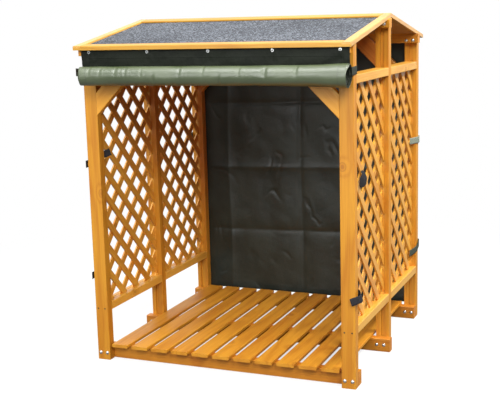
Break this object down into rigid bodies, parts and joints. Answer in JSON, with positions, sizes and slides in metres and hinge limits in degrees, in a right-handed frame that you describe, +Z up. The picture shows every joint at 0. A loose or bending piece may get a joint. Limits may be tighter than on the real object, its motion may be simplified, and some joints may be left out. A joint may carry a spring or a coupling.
{
  "type": "log store",
  "caption": "Open timber log store on floor beams with a slatted floor, lattice sides, a shallow felted roof, a rolled front sheet and a hung back sheet.",
  "frame": {"origin": "middle of the overall box at the ground", "axes": "+Z up, the open front faces -Y, +X to the right seen from the front"},
  "size_m": [1.432, 1.4849, 1.745],
  "materials": {
    "frame_wood": "stained, satin",
    "lattice_wood": "stained, satin",
    "batten_wood": "stained, satin",
    "roof_board": "raw board",
    "roof_felt": "mineral grit",
    "tarp_sheet": "coated weave, slight sheen",
    "strap_green": "woven tape",
    "strap_black": "hook-and-loop tape",
    "bolt_steel": "zinc plated"
  },
  "bodies": {
    "root": {"post_front_left": "frame_wood", "post_front_right": "frame_wood", "post_middle_left": "frame_wood", "post_middle_right": "frame_wood", "post_rear_left": "frame_wood", "post_rear_right": "frame_wood", "floor_beam_front": "frame_wood", "floor_beam_middle": "frame_wood", "floor_beam_rear": "frame_wood", "floor_slats": "frame_wood", "top_beam_front": "frame_wood", "ridge_beam": "frame_wood", "top_beam_rear": "frame_wood", "rails_upper_left": "frame_wood", "rails_upper_right": "frame_wood", "rails_lower_left": "frame_wood", "rails_lower_right": "frame_wood", "lattice_front_left": "lattice_wood", "lattice_front_right": "lattice_wood", "lattice_rear_left": "lattice_wood", "lattice_rear_right": "lattice_wood", "brace_front_left": "frame_wood", "brace_front_right": "frame_wood", "brace_middle_left": "frame_wood", "brace_middle_right": "frame_wood", "brace_rear_left": "frame_wood", "brace_rear_right": "frame_wood", "roof_board_front": "roof_board", "roof_board_rear": "roof_board", "felt_front": "roof_felt", "felt_rear": "roof_felt", "eave_batten_front": "batten_wood", "eave_batten_rear": "batten_wood", "verge_batten_front_left": "batten_wood", "verge_batten_front_right": "batten_wood", "verge_batten_rear_left": "batten_wood", "verge_batten_rear_right": "batten_wood", "ridge_batten_front": "batten_wood", "ridge_batten_rear": "batten_wood", "front_tarp": "tarp_sheet", "back_tarp": "tarp_sheet", "roll_ties": "strap_green", "back_straps": "strap_green", "post_straps": "strap_black", "floor_bolts": "bolt_steel", "top_bolts": "bolt_steel", "tarp_screws": "bolt_steel", "rail_screws": "bolt_steel"}
  },
  "joints": []
}
